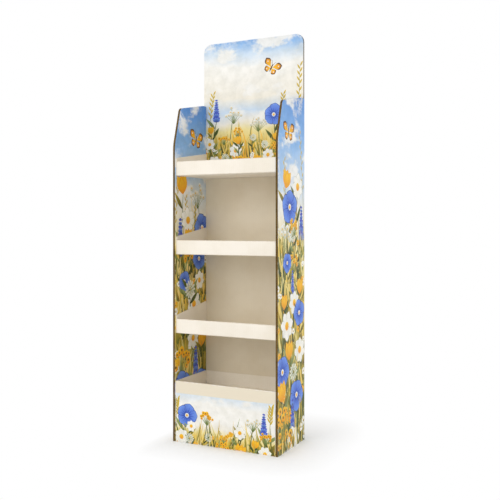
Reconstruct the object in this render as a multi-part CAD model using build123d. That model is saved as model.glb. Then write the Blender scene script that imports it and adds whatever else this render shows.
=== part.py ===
from build123d import *
import os

# A free-standing cardboard display stand with three shelf trays, a base tray and a header card.
# Millimetres, +Z up, the open front towards -Y, the origin on the floor under the middle.

# Overall size
width = 420.0  # across the outer faces of the side panels
depth = 240.0  # side panels, from the front edge to the rear face
side_height = 1250.0  # side panels, from the floor to the top edge at the rear
header_rise = 240.0  # header card above the side panels that it stands on

# Board and fits
heavy_board = 8.0  # double-wall board of the side panels, the back and the header card
light_board = 3.0  # single-wall board of the trays and the plinth
rib_board = 6.0  # board of the ribs inside the plinth
crease = 0.4  # radius on the inside of a fold
fit = 0.5  # clearance of a piece that slides in between two others
slot_fit = 0.3  # clearance round a board in its slot

# Side panels
seat_length = 35.0  # level stretch of the top edge, which carries the header card
front_drop = 33.0  # front top corner below that stretch
lean_length = 140.0  # height of the leaning stretch of the front edge
lean_back = 39.0  # how far the front top corner stands back
lean_radius = 120.0
front_corner_radius = 20.0
seat_radius = 60.0  # where the top edge turns level
flange_width = 60.0  # glue flange folded inwards at the rear
flange_taper = 45.0  # height over which the flange's top end is cut to a slope

# Header card
header_corner_radius = 32.0

# Shelf trays
shelf_levels = ("lower", "middle", "top")
lip_height = 52.0  # underside of a tray to the top of its front lip
lowest_lip_top = 445.0  # height of the lowest shelf's lip
shelf_pitch = 287.0  # from one lip to the next
lip_setback = 7.0  # lip behind the front edge of the side panels
roll_gap = 1.0  # slit between the two layers of the lip
wall_rise_front = 13.0  # side wall above the lip, at the front
wall_rise_rear = 46.0  # side wall above the lip, at the rear
wall_corner_radius = 5.0
wall_strip = 20.0  # floor strip that a side wall is folded up from
rear_flange = 17.0  # rear edge of a shelf, turned up
tongue_width = 60.0  # tongues at the rear of a shelf, through the back panel
tongue_spacing = 220.0
tongue_relief = 1.5  # cut beside a tongue

# Base
base_top = 220.0  # top of the plinth and of the base tray's walls
base_wall_height = 52.0  # base tray, underside to top
plinth_setback = 1.5  # plinth behind the front edge of the side panels
hook_drop = 40.0  # plinth's turned-down edge, behind the base tray's front wall
glue_flap = 45.0  # ends of the plinth, folded back against the side panels
rib_spacing = 220.0  # between the two ribs that run from front to rear

# Places that follow from the sizes
header_top = side_height + header_rise
side_x = width / 2
inner_x = side_x - heavy_board
front_y = -depth / 2
rear_y = depth / 2
flange_y = rear_y - heavy_board  # rear face of the back panel, on the side flanges
back_y = flange_y - heavy_board  # front face of the back panel
lip_y = front_y + lip_setback
lip_thickness = 2 * light_board + roll_gap
tray_x = inner_x - light_board - fit  # end of a lip, between the side walls
shelf_undersides = [
    lowest_lip_top - lip_height + level * shelf_pitch for level in range(len(shelf_levels))
]
back_top = shelf_undersides[-1] + light_board + slot_fit  # joint of back panel and header card
base_underside = base_top - base_wall_height
plinth_y = front_y + plinth_setback
hook_width = 3 * light_board + 2 * slot_fit  # two layers with the base tray's front wall between
base_wall_y = plinth_y + light_board + slot_fit  # outer face of that wall


def fold_section(points, board):
    """Section of a sheet with square folds: points follow its outer face, with the board on their left."""
    outer = [Vector(*point) for point in points]
    ways = [(end - start).normalized() for start, end in zip(outer, outer[1:])]
    inwards = [Vector(-way.Y, way.X) * board for way in ways]
    inner = [outer[0] + inwards[0]]
    for corner, before, after in zip(outer[1:], inwards, inwards[1:]):
        inner.append(corner + before + after)
    inner.append(outer[-1] + inwards[-1])
    folds = len(outer) - 2
    radii = [0, *[board + crease] * folds, 0, 0, *[crease] * folds, 0]
    return make_face(FilletPolyline(*outer, *reversed(inner), radius=radii, close=True))


def along_x(section, start, end):
    """Extrude a section drawn in Y and Z."""
    return extrude(Plane.YZ.offset(start) * section, end - start)


def along_y(section, start, end):
    """Extrude a section drawn in X and Z."""
    return extrude(Plane.XZ.offset(-start) * section, start - end)


def along_z(section, start, end):
    """Extrude a section drawn in X and Y."""
    return extrude(Plane.XY.offset(start) * section, end - start)


def rectangle(low, high):
    """Rectangle between two corners."""
    return make_face(Polyline(low, (high[0], low[1]), high, (low[0], high[1]), close=True))


def both_sides(piece):
    """A piece together with its mirror image on the other side of the stand."""
    return piece + mirror(piece, about=Plane.YZ)


def side_panel():
    """Right side panel: upright sheet with a leaning front, folded at the rear into a glue flange."""
    fold_y = rear_y - heavy_board - crease
    lean_top = side_height - front_drop
    outline = FilletPolyline(
        (front_y, 0),
        (fold_y, 0),
        (fold_y, side_height),
        (rear_y - seat_length, side_height),
        (front_y + lean_back, lean_top),
        (front_y, lean_top - lean_length),
        radius=(0, 0, 0, seat_radius, front_corner_radius, lean_radius),
        close=True,
    )
    sheet = along_x(make_face(outline), inner_x, side_x)
    flange_line = (
        (side_x, fold_y - heavy_board),
        (side_x, rear_y),
        (side_x - flange_width, rear_y),
    )
    folded = sheet + along_z(fold_section(flange_line, heavy_board), 0, side_height)
    slope = Polyline(
        (side_x - flange_width, side_height - flange_taper),
        (inner_x - crease, side_height),
        (side_x - flange_width, side_height),
        close=True,
    )
    return folded - along_y(make_face(slope), flange_y, rear_y)


def tongue_outline(clearance):
    """Right-hand rear tongue of a shelf seen from the front, measured from the shelf's underside."""
    low = (tongue_spacing / 2 - tongue_width / 2 - clearance, -clearance)
    high = (tongue_spacing / 2 + tongue_width / 2 + clearance, light_board + clearance)
    return rectangle(low, high)


def back_panel():
    """Upright sheet between the sides, slotted for the shelves' tongues. The top slots are open."""
    half = inner_x - fit
    sheet = rectangle((-half, 0), (half, back_top))
    for underside in shelf_undersides:
        slot = Pos(0, underside) * tongue_outline(slot_fit)
        sheet -= slot
        sheet -= mirror(slot, about=Plane.YZ)
    return along_y(sheet, back_y, flange_y)


def header_card():
    """Card on top of the back panel: its foot is between the sides, its shoulders stand on them."""
    half = inner_x - fit
    outline = FilletPolyline(
        (-half, back_top),
        (half, back_top),
        (half, side_height),
        (side_x, side_height),
        (side_x, header_top),
        (-side_x, header_top),
        (-side_x, side_height),
        (-half, side_height),
        radius=(0, 0, 0, 0, header_corner_radius, header_corner_radius, 0, 0),
        close=True,
    )
    return along_y(make_face(outline), back_y, flange_y)


def tray_wall(underside, wall_front, top_front, top_rear):
    """Right side wall of a tray, folded up from a strip of its floor, with its top edge cut to a slope."""
    highest = max(top_front, top_rear)
    fold_line = (
        (inner_x - wall_strip, underside),
        (inner_x, underside),
        (inner_x, highest),
    )
    folded = along_y(fold_section(fold_line, light_board), wall_front, back_y)
    outline = FilletPolyline(
        (wall_front, underside),
        (back_y, underside),
        (back_y, top_rear),
        (wall_front, top_front),
        radius=(light_board + crease, 0, wall_corner_radius, wall_corner_radius),
        close=True,
    )
    return folded & along_x(make_face(outline), inner_x - wall_strip, inner_x)


def shelf_tray(underside):
    """Shelf folded from one sheet: its lip rolls over into a second layer, its rear has two tongues."""
    lip_top = underside + lip_height
    flange_top = underside + rear_flange
    line = (
        (lip_y + lip_thickness, underside + light_board + fit),
        (lip_y + lip_thickness, lip_top),
        (lip_y, lip_top),
        (lip_y, underside),
        (back_y, underside),
        (back_y, flange_top),
    )
    folded = along_x(fold_section(line, light_board), -tray_x, tray_x)
    walls = tray_wall(underside, lip_y, lip_top + wall_rise_front, lip_top + wall_rise_rear)
    fold_start = back_y - light_board - crease
    half = tongue_width / 2 + tongue_relief
    window = rectangle((tongue_spacing / 2 - half, underside), (tongue_spacing / 2 + half, flange_top))
    tongue = along_y(Pos(0, underside) * tongue_outline(0), fold_start, flange_y)
    tray = folded + both_sides(walls) - both_sides(along_y(window, fold_start, back_y))
    return tray + both_sides(tongue)


def base_tray():
    """Tray on the ribs of the plinth. Its front wall is in the plinth's hook."""
    line = (
        (base_wall_y, base_top - light_board - slot_fit),
        (base_wall_y, base_underside),
        (back_y, base_underside),
        (back_y, base_top),
    )
    folded = along_x(fold_section(line, light_board), -tray_x, tray_x)
    walls = tray_wall(base_underside, plinth_y + hook_width + fit, base_top, base_top)
    return folded + both_sides(walls)


def plinth_front():
    """Front of the base: its upper edge hooks over the base tray, its ends are glued to the sides."""
    flap_top = base_underside - fit
    hook_line = (
        (plinth_y + hook_width, base_top - hook_drop),
        (plinth_y + hook_width, base_top),
        (plinth_y, base_top),
        (plinth_y, flap_top),
    )
    flap_line = (
        (-inner_x, plinth_y + glue_flap),
        (-inner_x, plinth_y),
        (inner_x, plinth_y),
        (inner_x, plinth_y + glue_flap),
    )
    hook = along_x(fold_section(hook_line, light_board), fit - inner_x, inner_x - fit)
    return hook + along_z(fold_section(flap_line, light_board), 0, flap_top)


def halving_slot(centre, low, high):
    """Slot for a crossing rib, up to half of the rib's height."""
    half = rib_board / 2 + slot_fit
    return rectangle((centre - half, low), (centre + half, high))


def base_rib_wide():
    """Upright rib from side to side, slotted from above."""
    half = inner_x - fit
    sheet = rectangle((-half, 0), (half, base_underside))
    for centre in (-rib_spacing / 2, rib_spacing / 2):
        sheet -= halving_slot(centre, base_underside / 2 - slot_fit, base_underside)
    return along_y(sheet, -rib_board / 2, rib_board / 2)


def base_rib(centre):
    """Upright rib from the plinth to the back panel, slotted from below."""
    sheet = rectangle((plinth_y + light_board + fit, 0), (back_y - fit, base_underside))
    sheet -= halving_slot(0, 0, base_underside / 2 + slot_fit)
    return along_x(sheet, centre - rib_board / 2, centre + rib_board / 2)


right_panel = side_panel()
stand = {
    "side_panel_left": mirror(right_panel, about=Plane.YZ),
    "side_panel_right": right_panel,
    "back_panel": back_panel(),
    "header_card": header_card(),
    "base_tray": base_tray(),
    "plinth_front": plinth_front(),
    "base_rib_wide": base_rib_wide(),
    "base_rib_left": base_rib(-rib_spacing / 2),
    "base_rib_right": base_rib(rib_spacing / 2),
}
for level, underside in zip(shelf_levels, shelf_undersides):
    stand[f"shelf_tray_{level}"] = shelf_tray(underside)

os.makedirs("parts", exist_ok=True)
for name, piece in stand.items():
    export_step(piece, f"parts/{name}.step")
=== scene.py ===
import math
import random
from collections import namedtuple

import bmesh
import bpy
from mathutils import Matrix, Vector
from mathutils.geometry import delaunay_2d_cdt


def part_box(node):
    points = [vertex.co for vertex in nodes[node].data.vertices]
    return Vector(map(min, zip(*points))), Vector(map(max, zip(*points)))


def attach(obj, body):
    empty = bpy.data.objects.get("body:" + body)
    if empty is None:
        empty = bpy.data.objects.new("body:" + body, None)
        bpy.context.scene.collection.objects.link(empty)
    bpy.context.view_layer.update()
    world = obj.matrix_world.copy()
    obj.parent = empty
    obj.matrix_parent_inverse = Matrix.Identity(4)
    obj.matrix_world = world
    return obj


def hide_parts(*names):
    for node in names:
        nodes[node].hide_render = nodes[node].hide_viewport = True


# A cardboard display stand: plain cream trays between sides that carry a printed flower meadow.
# Metres, +Z up, the open front towards -Y, heights from the floor.

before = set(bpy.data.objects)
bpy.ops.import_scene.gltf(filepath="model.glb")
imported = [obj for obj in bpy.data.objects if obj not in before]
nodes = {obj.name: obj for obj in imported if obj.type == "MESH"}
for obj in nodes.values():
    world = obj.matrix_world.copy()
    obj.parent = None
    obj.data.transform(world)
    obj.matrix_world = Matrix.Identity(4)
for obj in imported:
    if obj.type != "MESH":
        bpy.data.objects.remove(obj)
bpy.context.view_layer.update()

# Places that the frame gives
_, side_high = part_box("side_panel_right")
header_low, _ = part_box("header_card")
plinth_low, plinth_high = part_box("plinth_front")
back_low, back_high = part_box("back_panel")
heavy_board = back_high.y - back_low.y
inner_x = side_high.x - heavy_board

# Camera, fitted to the photograph's frame of 500 by 500 pixels
IMAGE_SIZE = 500
FOCAL_PIXELS = 736.9
HORIZON_PIXEL = 225.6
CAMERA_PLACE = (1.253, -2.390, 0.785)
CAMERA_TURN = math.radians(26.84)
SENSOR = 36.0  # millimetres

# Light
WORLD_LIGHT = 0.83
Lamp = namedtuple("Lamp", "place target size power")
KEY = Lamp((-1.4, -4.0, 2.7), (0.0, 0.0, 0.75), 2.4, 45.0)
FILL = Lamp((3.2, 0.9, 1.3), (0.2, 0.0, 0.75), 2.0, 12.0)

# Floor, whose share of plain white grows with the distance from the stand
FLOOR_SIZE = 16.0
FLOOR_ROUGHNESS = 0.9
FLOOR_WHITE = ((0.0, 0.12), (0.04, 0.36), (0.09, 0.55), (0.15, 0.72), (0.24, 1.0))
FLOOR_FADE_X = (3.0, 1.2)  # how fast that distance grows, to the left and to the right
FLOOR_FADE_Y = (1.2, 0.65)  # to the front and to the rear

# Board
FLUTE_PITCH = 0.0075
LIP_BAND = 0.044  # bare cream band along the top of the plinth
BAND_FADE = 0.002  # height over which the print ends at that band
REAR_FOLD = 0.02  # faces this near to the rear of a side panel belong to its fold and flange
FOLD_ANGLE = math.radians(30)  # edges that turn more than this are shaded sharp
FLAT_NORMAL = 0.99  # largest part of the normal where a sheet is flat
FOLD_NORMAL = 0.85  # the same well inside a fold
FACING = 0.9  # part of the normal along an axis where a face looks that way
LEVEL_END = 0.5  # upright part of the normal on the cut ends of a side panel
FRONT_EDGE = 0.1  # forward part of the normal on its cut front edge
PLINTH_FRONT = 0.02  # forward part of the normal on the printed faces of the plinth
X, Y, Z = range(3)
FACE, REVERSE, EDGE = range(3)  # materials of a sheet: its face, its other face and its cut edge

# Section of double-wall board, as shares of its thickness
LINERS = ((0.03, 0.06), (0.5, 0.05), (0.97, 0.06))  # middle and half thickness
MIDDLE_LINER = 1
FLUTES = (("SINE", 0.19, 0.26), ("COSINE", 0.15, 0.74))  # curve, reach and middle
FLUTE_HALF = 0.05
RIBBON_BLUR = 1.9  # where a layer has faded out, in half thicknesses

# Noise in the boards and the print: waves per metre along each axis, octaves and their roughness.
# The spread is the stretch of the noise over which its patches set in.
Noise = namedtuple("Noise", "waves detail roughness spread", defaults=(0.55, None))
TONE = Noise((7, 7, 7), 4)
FIBRE = Noise((520, 520, 520), 2)
WEAR_AND_SHADE_PATCHES = Noise((70, 70, 70), 5, 0.7, (0.4, 0.6))
KRAFT_TONE = Noise((6, 6, 6), 5)
KRAFT_FIBRE = Noise((160, 160, 620), 4, 0.7)
KRAFT_FLECKS = Noise((300, 300, 420), 2, 0.55, (0.66, 0.72))
TORN_PAPER = Noise((420, 420, 26), 4, 0.65, (0.36, 0.66))
HORIZON_DRIFT = Noise((5, 5, 6), 6, 0.6)
CLOUD_PUFFS = Noise((8, 8, 13), 8, 0.58, (0.5, 0.62))
BLADES = Noise((130, 130, 8), 4, 0.7)
INK_BLOOM = Noise((34, 34, 34), 5)
GRAIN = Noise((640, 640, 640), 2)
PALE_BLADES = (0.52, 0.64)  # spreads of the pale and of the dark blades of grass
DARK_BLADES = (0.48, 0.36)
DARK_TONE = 0.3  # noise at which a board has its dark and its light tone
LIGHT_TONE = 0.62

# Finish: stretch of the grain over which the roughness changes, specular level, depth of the relief
Finish = namedtuple("Finish", "spread roughness specular relief")
LINED_FINISH = Finish((0.3, 0.7), (0.5, 0.66), 0.25, 0.00004)
KRAFT_FINISH = Finish((0.3, 0.7), (0.78, 0.92), 0.15, 0.00007)
EDGE_FINISH = Finish((0.0, 1.0), (0.95, 0.82), 0.12, 0.0008)
PRINT_FINISH = Finish((0.3, 0.7), (0.42, 0.56), 0.35, 0.00004)
LINED_WEAR_AND_SHADE = 0.6  # how far the folds of plain board are worn and darkened by painted shade, and those of printed board worn
PRINT_WEAR = 0.7


def paint(red, green, blue):
    """A shader colour from the 0 to 255 values that a screen shows, by the sRGB curve."""
    shares = [value / 255 for value in (red, green, blue)]
    linear = [((s + 0.055) / 1.055) ** 2.4 if s > 0.04045 else s / 12.92 for s in shares]
    return (*linear, 1.0)


PURE_WHITE = paint(255, 255, 255)
FLOOR_PAINT = paint(244, 244, 243)
CREAM = paint(250, 242, 229)
CREAM_DARK = paint(240, 231, 214)
BEIGE = paint(236, 225, 203)
BEIGE_DARK = paint(226, 213, 188)
KRAFT = paint(172, 132, 88)
KRAFT_DARK = paint(140, 103, 66)
# Cut edges: liner paper, and painted shade in the hollows between the flutes
LINER = paint(132, 106, 58)
FLUTE_SHADE = paint(78, 58, 28)
INK_SHADE = paint(240, 240, 238)
SKY_DEEP = paint(92, 150, 224)
SKY = paint(142, 188, 238)
SKY_PALE = paint(208, 226, 243)
CLOUD = paint(251, 249, 243)
PAPER = paint(248, 242, 227)
STRAW = paint(250, 234, 164)
GOLD = paint(236, 198, 74)
OLIVE = paint(182, 162, 50)
GREEN = paint(92, 108, 32)
MOSS = paint(38, 52, 16)
UMBER = paint(100, 76, 20)
SAGE = paint(160, 174, 114)
BLUE_DEEP = paint(28, 46, 118)
BLUE = paint(50, 90, 204)
BLUE_LIGHT = paint(116, 156, 240)
VIOLET = paint(92, 84, 176)
WHITE = paint(254, 252, 247)
WHITE_SHADE = paint(196, 198, 176)
IVORY = paint(248, 247, 234)
YELLOW = paint(255, 206, 40)
AMBER = paint(240, 150, 14)
BROWN = paint(92, 62, 26)

# Washes of the print: heights and the colours there
SIDE_WASHES = (
    (-0.02, MOSS), (0.14, GREEN), (0.34, OLIVE), (0.52, GOLD), (0.68, STRAW), (0.82, PAPER),
    (0.93, SKY_PALE), (1.08, SKY), (1.25, SKY_DEEP),
)
HEADER_WASHES = (
    (0.93, GREEN), (0.98, OLIVE), (1.05, GOLD), (1.10, GOLD), (1.15, STRAW), (1.18, PAPER),
    (1.22, SKY_PALE), (1.27, PAPER), (1.39, CLOUD), (1.44, SKY_PALE), (1.48, SKY), (1.54, SKY_DEEP),
)
PLINTH_WASHES = (
    (-0.02, GREEN), (0.0, OLIVE), (0.025, GOLD), (0.045, STRAW), (0.065, PAPER), (0.085, CLOUD),
    (0.14, CLOUD), (0.19, SKY_PALE), (0.22, SKY),
)


# Materials

MIX_SHARE, MIX_FIRST, MIX_SECOND, MIX_RESULT = 0, 6, 7, 2  # sockets of a mix node for colours


class Graph:
    """Node tree of a material or a world, with short calls for the nodes that are used here."""

    def __init__(self, owner, shader="Principled BSDF"):
        owner.use_nodes = True
        self.owner = owner
        self.tree = owner.node_tree
        self.shader = self.tree.nodes[shader]

    def feed(self, node, inputs):
        """Link a node's sockets, by name or number, to other sockets, or set them to values."""
        for key, value in inputs.items():
            if isinstance(value, bpy.types.NodeSocket):
                self.tree.links.new(value, node.inputs[key])
            else:
                node.inputs[key].default_value = value

    def node(self, kind, inputs, **settings):
        made = self.tree.nodes.new(kind)
        for key, value in settings.items():
            setattr(made, key, value)
        self.feed(made, inputs)
        return made

    def coordinates(self, kind):
        return self.node("ShaderNodeTexCoord", {}).outputs[kind]

    def axes(self, kind):
        """The object's coordinates or the normal, split into three numbers."""
        return self.node("ShaderNodeSeparateXYZ", {0: self.coordinates(kind)}).outputs

    def math(self, operation, *values):
        return self.node("ShaderNodeMath", dict(enumerate(values)), operation=operation).outputs[0]

    def between(self, value, low, high, start=0.0, end=1.0, shape="SMOOTHSTEP"):
        """Share of the way from low to high, taken from start to end."""
        inputs = dict(enumerate((value, low, high, start, end)))
        return self.node("ShaderNodeMapRange", inputs, interpolation_type=shape).outputs[0]

    def noise(self, kind):
        stretch = {"Vector": self.coordinates("Object"), "Scale": kind.waves}
        inputs = {
            "Vector": self.node("ShaderNodeMapping", stretch).outputs[0],
            "Scale": 1.0,
            "Detail": kind.detail,
            "Roughness": kind.roughness,
        }
        return self.node("ShaderNodeTexNoise", inputs).outputs[0]

    def patches(self, kind):
        return self.between(self.noise(kind), *kind.spread)

    def ramp(self, value, *stops):
        made = self.node("ShaderNodeValToRGB", {0: value})
        elements = made.color_ramp.elements
        while len(elements) < len(stops):
            elements.new(0.5)
        for element, (position, colour) in zip(elements, stops):
            element.position = position
            element.color = colour
        return made.outputs[0]

    def mix(self, share, first, second, blend="MIX"):
        inputs = {MIX_SHARE: share, MIX_FIRST: first, MIX_SECOND: second}
        made = self.node("ShaderNodeMix", inputs, data_type="RGBA", blend_type=blend)
        return made.outputs[MIX_RESULT]

    def finish(self, colour, grain, relief, finish):
        """Feed the shader, and return its material."""
        bump = self.node("ShaderNodeBump", {"Distance": finish.relief, "Height": relief})
        inputs = {
            "Base Color": colour,
            "Roughness": self.between(grain, *finish.spread, *finish.roughness),
            "Specular IOR Level": finish.specular,
            "Normal": bump.outputs[0],
        }
        self.feed(self.shader, inputs)
        return self.owner


def flute_wave(graph):
    """Faint upright ridges of the corrugated layer that show through a liner."""
    across = graph.axes("Object")[X]
    return graph.math("SINE", graph.math("MULTIPLY", across, math.tau / FLUTE_PITCH))


def fold_wear_and_shade(graph, share):
    """Patches along the folds, which are where a sheet's normal is between two axes: worn spots, and where
    a board darkens there, also painted shade in its creases and inside corners.
    """
    parts = [graph.math("ABSOLUTE", part) for part in graph.axes("Normal")]
    straight = graph.math("MAXIMUM", graph.math("MAXIMUM", parts[X], parts[Y]), parts[Z])
    bend = graph.between(straight, FLAT_NORMAL, FOLD_NORMAL, 0.0, share)
    return graph.math("MULTIPLY", bend, graph.patches(WEAR_AND_SHADE_PATCHES))


def lined_board(name, light, dark):
    """Smooth coated board: fine fibres, slow changes of tone, the ghost of its flutes, and folds darkened
    partly by wear and partly by painted shade.
    """
    flute_tone = 0.02
    fibre_tone = 0.35
    flute_relief = 0.5
    graph = Graph(bpy.data.materials.new(name))
    fibre = graph.noise(FIBRE)
    wave = flute_wave(graph)
    tone = graph.math("ADD", graph.noise(TONE), graph.math("MULTIPLY", wave, flute_tone))
    tone = graph.math("ADD", tone, graph.math("MULTIPLY_ADD", fibre, fibre_tone, -fibre_tone / 2))
    colour = graph.ramp(tone, (DARK_TONE, dark), (LIGHT_TONE, light))
    # Folds and inside corners turn darker: partly wear, partly painted shade in the creases.
    colour = graph.mix(fold_wear_and_shade(graph, LINED_WEAR_AND_SHADE), colour, BEIGE_DARK)
    relief = graph.math("MULTIPLY_ADD", wave, flute_relief, fibre)
    return graph.finish(colour, fibre, relief, LINED_FINISH)


def kraft_board(name):
    """Brown unbleached board with dark and pale fibres."""
    cloud_tone = 0.4
    fibre_tone = 0.6
    flute_tone = 0.035
    flute_relief = 0.7
    graph = Graph(bpy.data.materials.new(name))
    cloud = graph.noise(KRAFT_TONE)
    fibre = graph.noise(KRAFT_FIBRE)
    wave = flute_wave(graph)
    tone = graph.math("MULTIPLY_ADD", cloud, cloud_tone, graph.math("MULTIPLY", fibre, fibre_tone))
    tone = graph.math("MULTIPLY_ADD", wave, flute_tone, tone)
    colour = graph.ramp(tone, (DARK_TONE, KRAFT_DARK), (LIGHT_TONE, KRAFT))
    colour = graph.mix(graph.patches(KRAFT_FLECKS), colour, BROWN)
    relief = graph.math("MULTIPLY_ADD", wave, flute_relief, fibre)
    return graph.finish(colour, fibre, relief, KRAFT_FINISH)


def raw_edge(name, through, start, along):
    """Cut edge of double-wall board: three liners, and flutes in section or cut lengthwise, with painted
    shade in the hollows between them.
    """
    liner_share = 0.7  # how clear the middle liner is where the flutes are cut lengthwise
    level_normal = (0.5, 0.8)  # upright part of the normal where flutes in section set in
    graph = Graph(bpy.data.materials.new(name))
    place = graph.axes("Object")
    depth = graph.math("ABSOLUTE", place[through])
    depth = graph.between(depth, start, start + heavy_board, shape="LINEAR")
    phase = graph.math("MULTIPLY", place[along], math.tau / FLUTE_PITCH)
    layers = list(LINERS)
    for curve, reach, middle in FLUTES:
        layers.append((graph.math("MULTIPLY_ADD", graph.math(curve, phase), reach, middle), FLUTE_HALF))
    ribbons = []
    for centre, half in layers:
        off = graph.math("ABSOLUTE", graph.math("SUBTRACT", depth, centre))
        ribbons.append(graph.between(off, half, half * RIBBON_BLUR, 1.0, 0.0))
    section = ribbons[0]
    for ribbon in ribbons[1:]:
        section = graph.math("MAXIMUM", section, ribbon)
    middle_liner = graph.math("MULTIPLY", ribbons[MIDDLE_LINER], liner_share)
    lengthwise = graph.math("MAXIMUM", graph.patches(TORN_PAPER), middle_liner)
    upright = graph.math("ABSOLUTE", graph.axes("Normal")[Z])
    open_flutes = graph.between(upright, *level_normal)
    paper = graph.math("MULTIPLY", section, open_flutes)
    rest = graph.math("SUBTRACT", 1.0, open_flutes)
    paper = graph.math("MULTIPLY_ADD", lengthwise, rest, paper)
    # Where no paper is cut, FLUTE_SHADE is painted shade in the hollows of the flutes.
    colour = graph.ramp(paper, (0.0, FLUTE_SHADE), (1.0, LINER))
    return graph.finish(colour, paper, paper, EDGE_FINISH)


def printed_board(name, washes, horizon, drift, shade, band=None):
    """Printed liner: washes of colour by height, clouds, blades of grass, and the drawn shapes on top."""
    cloud_share = 0.9
    pale_share = 0.7
    graph = Graph(bpy.data.materials.new(name))
    height = graph.axes("Object")[Z]
    wander = graph.math("MULTIPLY_ADD", graph.noise(HORIZON_DRIFT), 2 * drift, -drift)
    level = graph.math("ADD", height, wander)
    low, high = washes[0][0], washes[-1][0]
    stops = [((place - low) / (high - low), colour) for place, colour in washes]
    ground = graph.ramp(graph.between(level, low, high, shape="LINEAR"), *stops)
    sky = graph.between(level, horizon, horizon + drift, 0.0, cloud_share)
    ground = graph.mix(graph.math("MULTIPLY", graph.patches(CLOUD_PUFFS), sky), ground, CLOUD)
    blades = graph.noise(BLADES)
    field = graph.between(level, horizon, horizon - drift)
    pale = graph.math("MULTIPLY", graph.between(blades, *PALE_BLADES, 0.0, pale_share), field)
    dark = graph.math("MULTIPLY", graph.between(blades, *DARK_BLADES, 0.0, shade), field)
    ground = graph.mix(dark, graph.mix(pale, ground, STRAW), MOSS)
    ink = graph.node("ShaderNodeAttribute", {}, attribute_name="ink")
    colour = graph.mix(ink.outputs["Alpha"], ground, ink.outputs["Color"])
    bloom = graph.ramp(graph.noise(INK_BLOOM), (DARK_TONE, INK_SHADE), (LIGHT_TONE, PURE_WHITE))
    colour = graph.mix(1.0, colour, bloom, "MULTIPLY")
    if band is not None:
        colour = graph.mix(graph.between(height, band, band + BAND_FADE), colour, BEIGE)
    colour = graph.mix(fold_wear_and_shade(graph, PRINT_WEAR), colour, CLOUD)
    grain = graph.noise(GRAIN)
    return graph.finish(colour, grain, grain, PRINT_FINISH)


# Drawn shapes

# Each face is drawn in its own upright plane, with u to the right and v up as seen from outside.
# The colour of a shape changes along a straight line from its start to its end.

Shape = namedtuple("Shape", "outline start end first last")

# Shares of a length at which a width is drawn
LARGE_PETAL = (0.1, 0.26, 0.44, 0.6, 0.73, 0.84, 0.92, 0.975)
SMALL_PETAL = (0.15, 0.4, 0.65, 0.85, 0.96)
STROKE = (0.0, 0.3, 0.55, 0.8, 1.0)
SMALL_PETAL_LENGTH = 0.02
STROKE_TAPER = 1.5  # above 1, a stroke keeps its root's width for longer
PLACE_TRIES = 10

# Widths of stalks at the root and at the tip
STEM_WIDTHS = (0.005, 0.0025)
OAT_WIDTHS = (0.003, 0.0012)
SPRAY_WIDTHS = (0.0035, 0.002)
BRANCH_WIDTHS = (0.002, 0.001)
BLADE_TIP = 0.0006

# Colours of leaves and of blades of grass, at the root and at the tip
LEAF_COLOURS = ((MOSS, GREEN), (GREEN, SAGE), (MOSS, OLIVE))
GREEN_GRASS = (
    (MOSS, OLIVE), (UMBER, GOLD), (MOSS, GREEN), (GREEN, GOLD),
    (OLIVE, STRAW), (MOSS, SAGE), (GOLD, STRAW), (STRAW, GOLD),
)
GOLDEN_GRASS = (
    (UMBER, GOLD), (OLIVE, STRAW), (GOLD, STRAW),
    (GREEN, GOLD), (AMBER, YELLOW), (MOSS, OLIVE),
)


def turned(angle, length=1.0):
    return Vector((math.cos(angle), math.sin(angle))) * length


def all_round(count, start=0.0):
    """Angles in even steps all the way round."""
    return [start + math.tau * step / count for step in range(count)]


def point_on(line, share):
    """Point at a share of the way along a line of points."""
    place = share * (len(line) - 1)
    station = min(int(place), len(line) - 2)
    return line[station].lerp(line[station + 1], place - station)


def both_edges(middle, half):
    """Lines half a width off a middle line: up its right side, and down its left side."""
    right = [point - offset for point, offset in zip(middle, half)]
    left = [point + offset for point, offset in zip(middle, half)]
    return right, left[::-1]


class Page:
    """Shapes on one printed face, painted in the order in which they are added."""

    def __init__(self, seed, left, right, blade_width, blade_colours):
        self.random = random.Random(seed)
        self.left = left
        self.right = right
        self.width = right - left
        self.blade_width = blade_width
        self.blade_colours = blade_colours
        self.shapes = []
        self.heads = []  # middles of the flowers

    def about(self, value, spread=0.2):
        """A value with a random difference of up to a share of it."""
        return value * self.random.uniform(1 - spread, 1 + spread)

    def swing(self, reach):
        """A random value between minus and plus a reach."""
        return self.random.uniform(-reach, reach)

    def room(self, place):
        """Distance from a place to the nearest flower."""
        return min(((place - head).length for head in self.heads), default=0.0)

    def open_place(self, low, high, margin=0.0):
        """Of some random places between two heights, the one with the most room."""
        tries = []
        for _ in range(PLACE_TRIES):
            u = self.random.uniform(self.left + margin, self.right - margin)
            tries.append(Vector((u, self.random.uniform(low, high))))
        return max(tries, key=self.room)

    def petal(self, base, angle, length, width, fullness, first, last):
        """Petal or leaf from its base to its tip. It is widest near the tip where fullness is high."""
        along, side = turned(angle), turned(angle + math.pi / 2)
        stations = LARGE_PETAL if length > SMALL_PETAL_LENGTH else SMALL_PETAL
        middle = [base + along * length * share for share in stations]
        half = [side * width / 2 * math.sin(math.pi * share**fullness) for share in stations]
        right, left = both_edges(middle, half)
        tip = base + along * length
        self.shapes.append(Shape([base, *right, tip, *left], base, tip, first, last))

    def disc(self, centre, radius, first, last, corners=10):
        outline = [centre + turned(angle, radius) for angle in all_round(corners)]
        rise = Vector((0, radius))
        self.shapes.append(Shape(outline, centre - rise, centre + rise, first, last))

    def stroke(self, root, tip, bow, widths, first, last):
        """Line that bends sideways by bow in its middle, and narrows from its root to its tip."""
        root_width, tip_width = widths
        along = (tip - root).normalized()
        side = Vector((-along.y, along.x))
        middle = [root.lerp(tip, share) + side * bow * 4 * share * (1 - share) for share in STROKE]
        gain = tip_width - root_width
        half = [side * (root_width + gain * share**STROKE_TAPER) / 2 for share in STROKE]
        right, left = both_edges(middle, half)
        self.shapes.append(Shape([*right, *left], root, tip, first, last))
        return middle


# Flowers and grass, with lengths as shares of a flower's size and angles in radians


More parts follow.
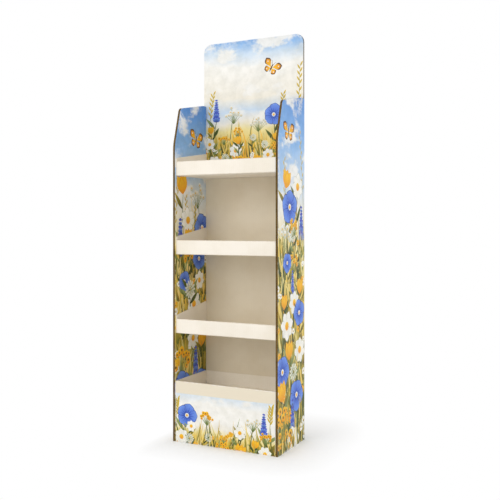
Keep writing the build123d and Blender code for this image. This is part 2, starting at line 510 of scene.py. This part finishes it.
def star_flower(page, centre, radius, petals, width, fullness, rim, first, last):
    """Open flower seen from the front: each petal with a darker rim behind it."""
    heart = radius * 0.45  # closes the gaps between the petals
    rim_length = 1.03
    rim_width = 1.08
    start = page.random.uniform(0, math.tau)
    page.disc(centre, heart, first, first)
    for even in all_round(petals, start):
        angle = even + page.swing(reach=0.08)
        length = page.about(radius, spread=0.07)
        page.petal(centre, angle, length * rim_length, width * radius * rim_width, fullness, rim, rim)
        page.petal(centre, angle, length, width * radius, fullness, first, last)


def flax(page, centre, radius):
    """Blue flower with five round petals, dark veins and a pale eye."""
    veins = 15
    vein_reach = 0.66
    vein_widths = (radius * 0.07, radius * 0.015)
    eye = radius * 0.2
    heart = radius * 0.11
    petals, width, fullness = 5, 1.02, 1.7
    star_flower(page, centre, radius, petals, width, fullness, BLUE_DEEP, BLUE, BLUE_LIGHT)
    for angle in all_round(veins, page.random.uniform(0, math.tau)):
        tip = centre + turned(angle, radius * page.about(vein_reach, spread=0.15))
        page.stroke(centre, tip, 0.0, vein_widths, BLUE_DEEP, BLUE)
    page.disc(centre, eye, SKY_PALE, WHITE)
    page.disc(centre, heart, AMBER, YELLOW, corners=7)


def windflower(page, centre, radius):
    """White flower with seven broad petals and a golden middle."""
    grains = 9
    grain_radius = radius * 0.05
    heart = radius * 0.3
    petals, width, fullness = 7, 0.66, 1.5
    star_flower(page, centre, radius, petals, width, fullness, WHITE_SHADE, IVORY, WHITE)
    page.disc(centre, heart, AMBER, YELLOW, corners=14)
    for angle in all_round(grains):
        page.disc(centre + turned(angle, heart), grain_radius, YELLOW, WHITE, corners=5)


def goblet(page, base, height):
    """Golden cup of a flower seen from the side."""
    petals = ((0.0, 0.96, 0.62), (0.36, 1.0, 0.5), (-0.36, 1.0, 0.5), (0.0, 0.82, 0.5))
    fullness = 1.05
    rim_length = 1.04
    rim_width = 1.08
    tilt = math.pi / 2 + page.swing(reach=0.3)
    for lean, length, width in petals:
        angle = tilt + lean
        rim = (height * length * rim_length, height * width * rim_width)
        page.petal(base, angle, *rim, fullness, AMBER, AMBER)
        page.petal(base, angle, height * length, height * width, fullness, AMBER, YELLOW)


def spire(page, base, height):
    """Tall spike of small blue and violet florets, narrow at its tip."""
    rows = 10
    leans = (0.95, -0.95, 0.35, -0.35)
    lowest_floret = height * 0.2
    taper = 0.7
    top_row = 0.9
    floret_width = 0.6
    fullness = 1.3
    for row in reversed(range(rows)):
        share = row / rows
        size = lowest_floret * (1 - taper * share)
        middle = base + Vector((0, height * share * top_row))
        first, last = (VIOLET, BLUE) if row % 2 else (BLUE_DEEP, BLUE_LIGHT)
        for lean in leans:
            angle = math.pi / 2 + lean + page.swing(reach=0.12)
            page.petal(middle, angle, size, size * floret_width, fullness, first, last)


def puff(page, centre, radius):
    """Round head of many small white florets."""
    rings = ((1.0, 13), (0.68, 9), (0.36, 5))  # share of the radius, and florets
    inner_end = 0.35
    floret_length = 0.65
    floret_width = 0.3
    fullness = 1.3
    for ring, count in rings:
        for floret in range(count):
            angle = math.tau * (floret + ring) / count
            base = centre + turned(angle, radius * ring * inner_end)
            length = radius * ring * floret_length
            page.petal(base, angle, length, radius * floret_width, fullness, SAGE, WHITE)


def spray(page, root, height, size, first, last, middle):
    """Branching stalk with a cluster of small round flowers."""
    flowers = 11
    fan_start = 0.1  # of half a turn
    fan_width = 0.8
    cluster_reach = size * 0.42
    cluster_drop = Vector((0, size * 0.2))
    fork_drop = Vector((0, size * 0.5))
    flower_radius = size * 0.11
    heart_share = 0.35
    crown = root + Vector((page.swing(reach=0.02), height))
    page.stroke(root, crown, page.swing(reach=0.01), SPRAY_WIDTHS, MOSS, GREEN)
    fork = crown - fork_drop
    for flower in range(flowers):
        angle = math.pi * (fan_start + fan_width * flower / (flowers - 1))
        place = crown + turned(angle, page.about(cluster_reach, spread=0.45)) - cluster_drop
        page.stroke(fork, place, 0.0, BRANCH_WIDTHS, GREEN, SAGE)
        radius = page.about(flower_radius, spread=0.25)
        page.disc(place, radius, first, last, corners=8)
        page.disc(place, radius * heart_share, middle, middle, corners=5)


def oat(page, root, height):
    """Tall grass with a loose ear of seeds."""
    seeds = 11
    ear_start = 0.6
    ear_length = 0.4
    seed_lean = 0.5
    seed_length = 0.022
    seed_width = 0.0065
    tip = root + Vector((page.swing(reach=0.1) * height, height))
    bow = page.swing(reach=0.05) * height
    line = page.stroke(root, tip, bow, OAT_WIDTHS, GREEN, OLIVE)
    for seed in range(seeds):
        place = point_on(line, ear_start + ear_length * seed / (seeds - 1))
        lean = seed_lean if seed % 2 else -seed_lean
        page.petal(place, math.pi / 2 + lean, seed_length, seed_width, 1.0, OLIVE, GOLD)


def leafy_stem(page, root, tip, size):
    """Bent stalk with leaves on alternate sides."""
    leaves = 4
    leaf_length = size * 0.7
    leaf_leans = (0.5, 0.95)
    leaf_width = leaf_length * 0.24
    fullness = 0.85
    bare_root = 0.6  # stalk below the first leaf, in steps from leaf to leaf
    steps = leaves + 0.5
    bow = page.swing(reach=0.08) * (tip - root).length
    line = page.stroke(root, tip, bow, STEM_WIDTHS, MOSS, GREEN)
    for leaf in range(leaves):
        place = point_on(line, (leaf + bare_root) / steps)
        side = 1 if leaf % 2 else -1
        angle = math.pi / 2 + side * page.random.uniform(*leaf_leans)
        first, last = page.random.choice(LEAF_COLOURS)
        page.petal(place, angle, page.about(leaf_length), leaf_width, fullness, first, last)


def butterfly(page, centre, span, tilt):
    """Golden butterfly with dark wing edges, turned by an angle."""
    wings = ((2.15, 0.36, 0.30), (0.98, 0.56, 0.34))  # lean, length and width
    field_length = 0.88  # golden field within a wing
    field_width = 0.76
    fullness = 1.75
    spot_reach = 0.66
    spot_radius = span * 0.03
    feeler_lean = 0.32
    feeler_length = span * 0.36
    feeler_bow = span * 0.02
    feeler_widths = (span * 0.022, span * 0.012)
    tail_length = span * 0.22
    body_length = span * 0.42
    body_width = span * 0.075
    up = math.pi / 2 + tilt
    for side in (1, -1):
        for lean, length, width in wings:
            angle = up - side * lean
            field = (span * length * field_length, span * width * field_width)
            page.petal(centre, angle, span * length, span * width, fullness, BROWN, BROWN)
            page.petal(centre, angle, *field, fullness, YELLOW, AMBER)
            spot = centre + turned(angle, span * length * spot_reach)
            page.disc(spot, spot_radius, WHITE, WHITE, corners=7)
        feeler = centre + turned(up - side * feeler_lean, feeler_length)
        page.stroke(centre, feeler, side * feeler_bow, feeler_widths, BROWN, BROWN)
    tail = centre - turned(up, tail_length)
    page.petal(tail, up, body_length, body_width, 1.0, BROWN, BROWN)


def blossom(page, centre, radius):
    """Small flower with five round petals, white or yellow."""
    petals = 5
    petal_reach = radius * 0.58
    petal_radius = radius * 0.46
    heart = radius * 0.32
    first, last = page.random.choice(((WHITE, IVORY), (YELLOW, AMBER)))
    for angle in all_round(petals, page.random.uniform(0, math.tau)):
        page.disc(centre + turned(angle, petal_reach), petal_radius, first, last, corners=7)
    page.disc(centre, heart, UMBER, GOLD, corners=6)


def grass(page, root_height, length, spacing):
    """Row of blades from one edge of a face to the other."""
    for blade in range(round(page.width / spacing)):
        u = page.left + (blade + page.random.random()) * spacing
        root = Vector((u, root_height + page.swing(reach=0.02)))
        tip = root + Vector((page.swing(reach=0.04), page.about(length, spread=0.3)))
        first, last = page.random.choice(page.blade_colours)
        widths = (page.about(page.blade_width, spread=0.4), BLADE_TIP)
        page.stroke(root, tip, page.swing(reach=0.012), widths, first, last)


# How a flower is drawn, and its size and the drop to its base as shares of the plant's size
Bloom = namedtuple("Bloom", "draw size drop")
BLOOMS = {
    "flax": Bloom(flax, 0.5, 0.0),
    "windflower": Bloom(windflower, 0.46, 0.0),
    "goblet": Bloom(goblet, 0.66, 0.33),
    "spire": Bloom(spire, 1.35, 0.6),
    "puff": Bloom(puff, 0.34, 0.0),
}
SPRAYS = {"spray": (AMBER, YELLOW, UMBER), "white_spray": (WHITE_SHADE, WHITE, GOLD)}

# Flowers of a meadow, the heights of its foot and horizon, its steps, and flower sizes far and near
Field = namedtuple("Field", "kinds base horizon row_step spacing sizes")
GOLDEN = ("goblet", "windflower", "spray", "goblet", "puff", "windflower", "spray")
MIXED = (
    "flax", "windflower", "spray", "goblet", "puff", "spire", "flax", "windflower", "goblet", "spray",
)
SIDE_FIELD = Field(MIXED, base=0.0, horizon=0.76, row_step=0.078, spacing=0.1, sizes=(0.08, 0.118))
HEADER_FIELD = Field(GOLDEN, base=1.0, horizon=1.14, row_step=0.046, spacing=0.07, sizes=(0.048, 0.064))
PLINTH_FIELD = Field(GOLDEN, base=-0.02, horizon=0.05, row_step=0.04, spacing=0.066, sizes=(0.046, 0.06))


def plant(page, kind, root, height, size=0.0):
    """One plant of a kind, from its root to its head."""
    if kind == "oat":
        oat(page, root, height)
        return
    head = root + Vector((0, height))
    page.heads.append(head)
    if kind in SPRAYS:
        spray(page, root, height, size, *SPRAYS[kind])
        return
    bloom = BLOOMS[kind]
    foot = root + Vector((page.swing(reach=0.2) * height, 0))
    base = head - Vector((0, size * bloom.drop))
    leafy_stem(page, foot, base, size)
    bloom.draw(page, base, size * bloom.size)


def meadow(page, area):
    """Rows of grass and plants from the horizon down to the base, larger towards the viewer."""
    blade_drop = 0.09  # roots of a row's grass below the row
    far_blade = 0.08
    blade_gain = 0.03
    blade_spacing = 0.01
    blossom_spacing = 0.6 * area.spacing
    blossom_size = 0.13
    plant_height = 0.08
    edge_margin = 0.36
    plants = max(round(page.width / area.spacing), 1)
    blossoms = round(page.width / blossom_spacing)
    kinds = []
    rows = math.ceil((area.horizon - area.base) / area.row_step)
    far_size, near_size = area.sizes
    for row in range(rows):
        near = row / max(rows - 1, 1)
        v = area.horizon - row * area.row_step
        stretch = (v - area.row_step / 2, v + area.row_step / 2)
        size = far_size + (near_size - far_size) * near
        grass(page, v - blade_drop, far_blade + blade_gain * near, blade_spacing)
        for _ in range(blossoms):
            place = page.open_place(*stretch)
            blossom(page, place, page.about(size * blossom_size, spread=0.25))
        for _ in range(plants):
            if not kinds:
                kinds = list(area.kinds)
                page.random.shuffle(kinds)
            height = page.about(plant_height, spread=0.3)
            head = page.open_place(*stretch, margin=size * edge_margin)
            root = head - Vector((0, height))
            plant(page, kinds.pop(), root, height, page.about(size, spread=0.15))


def flower_bed(page, plants, root_height):
    """Plants with a place, a kind, a height and a size. A place below 0 is from the right edge."""
    for place, kind, height, size in plants:
        u = page.right + place if place < 0 else page.left + place
        plant(page, kind, Vector((u, root_height)), height, size)


def side_page(seed, left, right):
    """Meadow under an open sky, on one face of a side panel."""
    # Places as shares of half the face's width, and heights
    oats = ((-0.9, 0.42), (0.86, 0.50), (-0.35, 0.30), (0.3, 0.36))
    tall = ((-0.55, 0.40), (0.5, 0.34), (-0.1, 0.27), (0.68, 0.22), (-0.62, 0.20))
    oat_root = 0.55
    tall_root = 0.56
    tall_size = 0.115
    butterfly_height = 1.11
    page = Page(seed, left, right, blade_width=0.011, blade_colours=GREEN_GRASS)
    middle = (left + right) / 2
    reach = page.width / 2
    grass(page, root_height=0.60, length=0.24, spacing=0.018)
    for share, height in oats:
        plant(page, "oat", Vector((middle + share * reach, oat_root)), page.about(height))
    kinds = ["flax", "spire", "white_spray", "goblet", "windflower"]
    page.random.shuffle(kinds)
    for (share, height), kind in zip(tall, kinds):
        root = Vector((middle + (share + page.swing(reach=0.12)) * reach, tall_root))
        height = page.about(height, spread=0.1)
        plant(page, kind, root, height, page.about(tall_size, spread=0.1))
    meadow(page, SIDE_FIELD)
    grass(page, root_height=-0.04, length=0.11, spacing=0.009)
    place = Vector((middle + page.swing(reach=0.3) * reach, butterfly_height))
    butterfly(page, place, span=0.1, tilt=page.swing(reach=0.7))
    return page


def header_page(seed, left, right):
    """Flowers along the foot of the header card, with an open field above them."""
    plants = (
        (0.02, "oat", 0.26, 0.0),
        (-0.03, "oat", 0.34, 0.0),
        (-0.065, "oat", 0.24, 0.0),
        (0.055, "spire", 0.2, 0.075),
        (-0.12, "flax", 0.17, 0.08),
        (0.12, "white_spray", 0.18, 0.07),
        (-0.185, "white_spray", 0.14, 0.06),
    )
    butterfly_place = Vector((right - 0.13, 1.375))
    page = Page(seed, left, right, blade_width=0.007, blade_colours=GOLDEN_GRASS)
    grass(page, root_height=1.04, length=0.12, spacing=0.014)
    flower_bed(page, plants, root_height=1.03)
    meadow(page, HEADER_FIELD)
    butterfly(page, butterfly_place, span=0.08, tilt=-0.5)
    return page


def plinth_page(seed, left, right):
    """Flowers along the floor, highest at both ends of the plinth."""
    plants = (
        (0.015, "oat", 0.15, 0.0),
        (-0.015, "oat", 0.16, 0.0),
        (0.05, "flax", 0.10, 0.085),
        (-0.045, "spire", 0.1, 0.07),
        (0.115, "spray", 0.10, 0.055),
        (-0.1, "white_spray", 0.1, 0.055),
    )
    page = Page(seed, left, right, blade_width=0.007, blade_colours=GREEN_GRASS)
    grass(page, root_height=0.0, length=0.08, spacing=0.011)
    flower_bed(page, plants, root_height=0.0)
    meadow(page, PLINTH_FIELD)
    return page


# Printed sheets

UP = Vector((0, 0, 1))
SAME_PLACE = 1e-5  # points this close are one point
SAME_WAY = 0.999  # faces whose normals agree this well look one way
STRAIGHT = 1e-6  # a line's points this near to a straight line don't bend it
FINEST = 1e-7  # smallest distance that the division into triangles keeps apart
INSIDE_ONLY = 1  # kind of that division: triangles inside the outlines
BARE = (0.0, 0.0, 0.0, 0.0)


def flat_patch(mesh, normal, plane):
    """Faces that lie in one upright plane and look one way."""
    chosen = []
    for face in mesh.faces:
        level = face.calc_center_median().dot(normal)
        if face.normal.dot(normal) > SAME_WAY and abs(level - plane) < SAME_PLACE:
            chosen.append(face)
    return chosen


def patch_outline(faces):
    """Corners round a patch of faces, in order, and the edges between them."""
    patch = set(faces)
    following = {}
    rim = []
    for face in faces:
        for loop in face.loops:
            if not patch.issuperset(loop.edge.link_faces):
                following[loop.vert] = loop.link_loop_next.vert
                rim.append(loop.edge)
    corners = [next(iter(following))]
    while following[corners[-1]] != corners[0]:
        corners.append(following[corners[-1]])
    return corners, rim


def sides_of(polygon):
    """Pairs of neighbouring corners, all the way round."""
    return zip(polygon, (*polygon[1:], polygon[0]))


def inside(outline, point):
    """Whether a point lies within an outline: a level line from it crosses an odd number of sides."""
    within = False
    for (start_u, start_v), (end_u, end_v) in sides_of(outline):
        if (start_v > point.y) != (end_v > point.y):
            share = (point.y - start_v) / (end_v - start_v)
            within ^= point.x < start_u + (end_u - start_u) * share
    return within


def visible_lines(outline, page):
    """Lines that part what shows on a face, each with the number of the shape on its left."""
    outlines = [outline, *(shape.outline for shape in page.shapes)]
    points, polygons = [], []
    for polygon in outlines:
        polygons.append(range(len(points), len(points) + len(polygon)))
        points.extend(polygon)
    net = delaunay_2d_cdt(points, [], polygons, INSIDE_ONLY, FINEST, True)
    places, _, triangles, origins, _, covers = net
    on_left = {}
    for triangle, cover in zip(triangles, covers):
        middle = sum((places[index] for index in triangle), Vector((0, 0))) / 3
        layers = [number for number in cover if inside(outlines[number], middle)]
        if 0 in layers:
            for line in sides_of(triangle):
                on_left[line] = max(layers)
    lines = {line: top for line, top in on_left.items() if on_left.get(line[::-1]) != top}
    corners = len(outline)
    fixed = {index for index, sources in enumerate(origins) if min(sources, default=corners) < corners}
    return places, straightened(lines, places, fixed)


def straightened(lines, places, fixed):
    """Lines without the points at which nothing turns or branches."""
    near = {}
    for first, last in lines:
        near.setdefault(first, set()).add(last)
        near.setdefault(last, set()).add(first)
    for middle, ends in near.items():
        if middle in fixed or len(ends) != 2:
            continue
        first, last = ends
        way = places[last] - places[first]
        off_line = abs(way.cross(places[middle] - places[first]))
        if last in near[first] or off_line > STRAIGHT * way.length:
            continue
        for start, end in ((first, last), (last, first)):
            near[start] = near[start] - {middle} | {end}
            if (start, middle) in lines:
                lines[start, end] = lines.pop((start, middle))
                del lines[middle, end]
    return lines


def filled(lines, places):
    """Triangles between the lines, each with the number of the shape that shows there."""
    used = sorted({index for line in lines for index in line})
    number = {index: place for place, index in enumerate(used)}
    numbered = {(number[first], number[last]): top for (first, last), top in lines.items()}
    points = [places[index] for index in used]
    net = delaunay_2d_cdt(points, list(numbered), [], INSIDE_ONLY, FINEST, True)
    corners, edges, triangles, origins, parents, _ = net
    becomes = {source: corner for corner, sources in enumerate(origins) for source in sources}
    barriers = {frozenset(edge) for edge, parent in zip(edges, parents) if parent}
    owner = {line: place for place, triangle in enumerate(triangles) for line in sides_of(triangle)}
    tops = {}
    for (first, last), top in numbered.items():
        place = owner.get((becomes[first], becomes[last]))
        if place is not None:
            tops[place] = top
    waiting = list(tops)
    while waiting:
        place = waiting.pop()
        for first, last in sides_of(triangles[place]):
            beyond = owner.get((last, first))
            if beyond is not None and beyond not in tops and frozenset((first, last)) not in barriers:
                tops[beyond] = tops[place]
                waiting.append(beyond)
    return corners, [(triangles[place], top) for place, top in sorted(tops.items())]


def split_rim(rim, flat, places, kept, corner_of):
    """Cut the edges round a patch where the edge of a shape meets them."""
    uses = {}
    for triangle, _ in kept:
        for line in sides_of(triangle):
            pair = frozenset(line)
            uses[pair] = uses.get(pair, 0) + 1
    border = {index for pair, count in uses.items() if count == 1 for index in pair}
    new = [index for index in border if index not in corner_of]
    for edge in rim:
        first, last = edge.verts
        start, way = flat(first), flat(last) - flat(first)
        meets = []
        for index in new:
            offset = places[index] - start
            share = offset.dot(way) / way.length_squared
            if 0 < share < 1 and abs(offset.cross(way)) < SAME_PLACE * way.length:
                meets.append((share, index))
        done = 0.0
        for share, index in sorted(meets):
            _, first = bmesh.utils.edge_split(edge, first, (share - done) / (1 - done))
            corner_of[index] = first
            done = share


def colour_at(shape, point):
    """Colour of a shape at a point of its face."""
    way = shape.end - shape.start
    share = min(max((point - shape.start).dot(way) / way.length_squared, 0.0), 1.0)
    return [a + (b - a) * share for a, b in zip(shape.first, shape.last)]


def print_patch(mesh, ink, normal, plane, draw, seed):
    """Divide one flat face along the shapes drawn on it, and colour it."""
    faces = flat_patch(mesh, normal, plane)
    corners, rim = patch_outline(faces)
    across = UP.cross(normal)

    def flat(vert):
        return Vector((vert.co.dot(across), vert.co.z))

    outline = [flat(vert) for vert in corners]
    sides = [point.x for point in outline]
    page = draw(seed, min(sides), max(sides))
    places, lines = visible_lines(outline, page)
    places, kept = filled(lines, places)
    index_at = {tuple(place): index for index, place in enumerate(places)}
    corner_of = {index_at[tuple(point)]: corner for corner, point in zip(corners, outline)}
    split_rim(rim, flat, places, kept, corner_of)
    bmesh.ops.delete(mesh, geom=faces, context="FACES_KEEP_BOUNDARY")
    for triangle, top in kept:
        for index in triangle:
            if index not in corner_of:
                u, v = places[index]
                corner_of[index] = mesh.verts.new(across * u + UP * v + normal * plane)
        face = mesh.faces.new([corner_of[index] for index in triangle])
        for loop, index in zip(face.loops, triangle):
            loop[ink] = colour_at(page.shapes[top - 1], places[index]) if top else BARE


def new_object(name, data):
    made = bpy.data.objects.new(name, data)
    bpy.context.collection.objects.link(made)
    return made


def dress(mesh, materials):
    """Give a mesh new materials."""
    mesh.materials.clear()
    for material in materials:
        mesh.materials.append(material)


def printed_sheet(node, materials, choose, prints):
    """Piece with a node's own form, printed on some of its faces."""
    mesh = bmesh.new()
    mesh.from_mesh(nodes[node].data)
    bmesh.ops.remove_doubles(mesh, verts=mesh.verts, dist=SAME_PLACE)
    ink = mesh.loops.layers.float_color.new("ink")
    for face in mesh.faces:
        face.material_index = choose(face)
        face.smooth = True
        for loop in face.loops:
            loop[ink] = BARE
    for normal, plane, draw, seed in prints:
        print_patch(mesh, ink, Vector(normal), plane, draw, seed)
    bmesh.ops.remove_doubles(mesh, verts=mesh.verts, dist=SAME_PLACE)
    made = bpy.data.meshes.new(f"{node}_printed")
    dress(made, materials)
    mesh.to_mesh(made)
    mesh.free()
    made.set_sharp_from_angle(angle=FOLD_ANGLE)
    piece = new_object(f"{node}_printed", made)
    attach(piece, "root")
    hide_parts(node)


# Dressing

HEADER_SEED = 7
PLINTH_SEED = 4
# Node, side, and the seeds of the outer and the inner face
SIDES = (("side_panel_left", -1, 24, 12), ("side_panel_right", 1, 22, 13))


def choose_card(face):
    """Material of a face of the back panel or the header card: front, rear or cut edge."""
    if face.normal.y < -FACING:
        return FACE
    return REVERSE if face.normal.y > FACING else EDGE


def choose_side(face):
    """Material of a face of a side panel: print on its faces and on the rear, plain board or cut edge."""
    place = face.calc_center_median()
    before_fold = place.y < side_high.y - REAR_FOLD
    if abs(face.normal.z) > LEVEL_END or before_fold and face.normal.y < -FRONT_EDGE:
        return EDGE
    if abs(face.normal.x) > FACING:
        return FACE if abs(place.x) > inner_x - heavy_board / 2 else EDGE
    return FACE if face.normal.y > 0 else REVERSE


def choose_plinth(face):
    """Material of a face of the plinth: print or plain board."""
    return FACE if face.normal.y < -PLINTH_FRONT else REVERSE


tray_board = lined_board("tray_board", CREAM, CREAM_DARK)
back_board = lined_board("back_board", BEIGE, BEIGE_DARK)
brown_board = kraft_board("brown_board")
side_edge = raw_edge("side_edge", through=X, start=inner_x, along=Y)
card_edge = raw_edge("card_edge", through=Y, start=back_low.y, along=X)
side_print = printed_board("side_print", SIDE_WASHES, horizon=0.8, drift=0.1, shade=0.75)
header_print = printed_board("header_print", HEADER_WASHES, horizon=1.15, drift=0.04, shade=0.2)
band = plinth_high.z - LIP_BAND
plinth_print = printed_board("plinth_print", PLINTH_WASHES, horizon=0.06, drift=0.02, shade=0.35, band=band)

for name, node in nodes.items():
    if name.startswith(("shelf_tray", "base_tray")):
        dress(node.data, [tray_board])
    if name.startswith("base_rib"):
        dress(node.data, [brown_board])
back = nodes["back_panel"].data
dress(back, [back_board, brown_board, card_edge])
for face in back.polygons:
    face.material_index = choose_card(face)

header_prints = [((0, -1, 0), -header_low.y, header_page, HEADER_SEED)]
printed_sheet("header_card", (header_print, brown_board, card_edge), choose_card, header_prints)
plinth_prints = [((0, -1, 0), -plinth_low.y, plinth_page, PLINTH_SEED)]
printed_sheet("plinth_front", (plinth_print, tray_board), choose_plinth, plinth_prints)
for name, side, outer_seed, inner_seed in SIDES:
    outer = ((side, 0, 0), side_high.x, side_page, outer_seed)
    inner = ((-side, 0, 0), -inner_x, side_page, inner_seed)
    printed_sheet(name, (side_print, tray_board, side_edge), choose_side, [outer, inner])


# Floor, light and camera


def white_for_camera(graph, emitter, output, share=None):
    """Show plain white to the camera, whole or in part, over a shader that still lights the scene."""
    rays = graph.node("ShaderNodeLightPath", {}).outputs
    seen = rays["Is Camera Ray"]
    for ray in ("Is Glossy Ray", "Is Transmission Ray"):
        seen = graph.math("MAXIMUM", seen, rays[ray])
    if share is not None:
        seen = graph.math("MULTIPLY", seen, share)
    white = graph.node(emitter, {"Color": PURE_WHITE})
    layers = {0: seen, 1: graph.shader.outputs[0], 2: white.outputs[0]}
    mixed = graph.node("ShaderNodeMixShader", layers)
    graph.feed(graph.tree.nodes[output], {"Surface": mixed.outputs[0]})


def axis_distance(graph, place, edge, fades):
    """Distance outside the stand along one axis, times the fade on that side."""
    low_fade, high_fade = fades
    low = graph.math("MULTIPLY_ADD", place, -low_fade, -edge * low_fade)
    high = graph.math("MULTIPLY_ADD", place, high_fade, -edge * high_fade)
    return graph.math("MAXIMUM", graph.math("MAXIMUM", low, high), 0.0)


def make_floor():
    """Pale floor that keeps the stand's shadow, and turns into the white background farther off."""
    half = FLOOR_SIZE / 2
    corners = [(-half, -half, 0), (half, -half, 0), (half, half, 0), (-half, half, 0)]
    mesh = bpy.data.meshes.new("floor")
    mesh.from_pydata(corners, [], [(0, 1, 2, 3)])
    floor = new_object("floor", mesh)
    graph = Graph(bpy.data.materials.new("floor_white"))
    graph.feed(graph.shader, {"Base Color": FLOOR_PAINT, "Roughness": FLOOR_ROUGHNESS})
    x, y, _ = graph.axes("Object")
    off_x = axis_distance(graph, x, side_high.x, FLOOR_FADE_X)
    off_y = axis_distance(graph, y, side_high.y, FLOOR_FADE_Y)
    squares = [graph.math("POWER", off, 2.0) for off in (off_x, off_y)]
    distance = graph.math("SQRT", graph.math("ADD", *squares))
    reach = FLOOR_WHITE[-1][0]
    stops = [(place / reach, (share, share, share, 1.0)) for place, share in FLOOR_WHITE]
    away = graph.ramp(graph.between(distance, 0.0, reach, shape="LINEAR"), *stops)
    white_for_camera(graph, "ShaderNodeEmission", "Material Output", away)
    mesh.materials.append(graph.owner)


def make_world():
    world = bpy.data.worlds.new("studio")
    graph = Graph(world, "Background")
    graph.feed(graph.shader, {"Color": PURE_WHITE, "Strength": WORLD_LIGHT})
    white_for_camera(graph, "ShaderNodeBackground", "World Output")
    bpy.context.scene.world = world


def make_lamp(name, lamp):
    data = bpy.data.lights.new(name, "AREA")
    data.size = lamp.size
    data.energy = lamp.power
    holder = new_object(name, data)
    holder.location = lamp.place
    way = Vector(lamp.target) - Vector(lamp.place)
    holder.rotation_euler = way.to_track_quat("-Z", "Y").to_euler()


def make_camera():
    data = bpy.data.cameras.new("camera")
    data.sensor_width = SENSOR
    data.lens = SENSOR * FOCAL_PIXELS / IMAGE_SIZE
    data.shift_y = (HORIZON_PIXEL - IMAGE_SIZE / 2) / IMAGE_SIZE
    camera = new_object("camera", data)
    camera.location = CAMERA_PLACE
    camera.rotation_euler = (math.pi / 2, 0, CAMERA_TURN)
    bpy.context.scene.camera = camera


make_floor()
make_world()
make_lamp("key", KEY)
make_lamp("fill", FILL)
make_camera()
bpy.context.scene.view_settings.view_transform = "Standard"

bpy.context.view_layer.update()
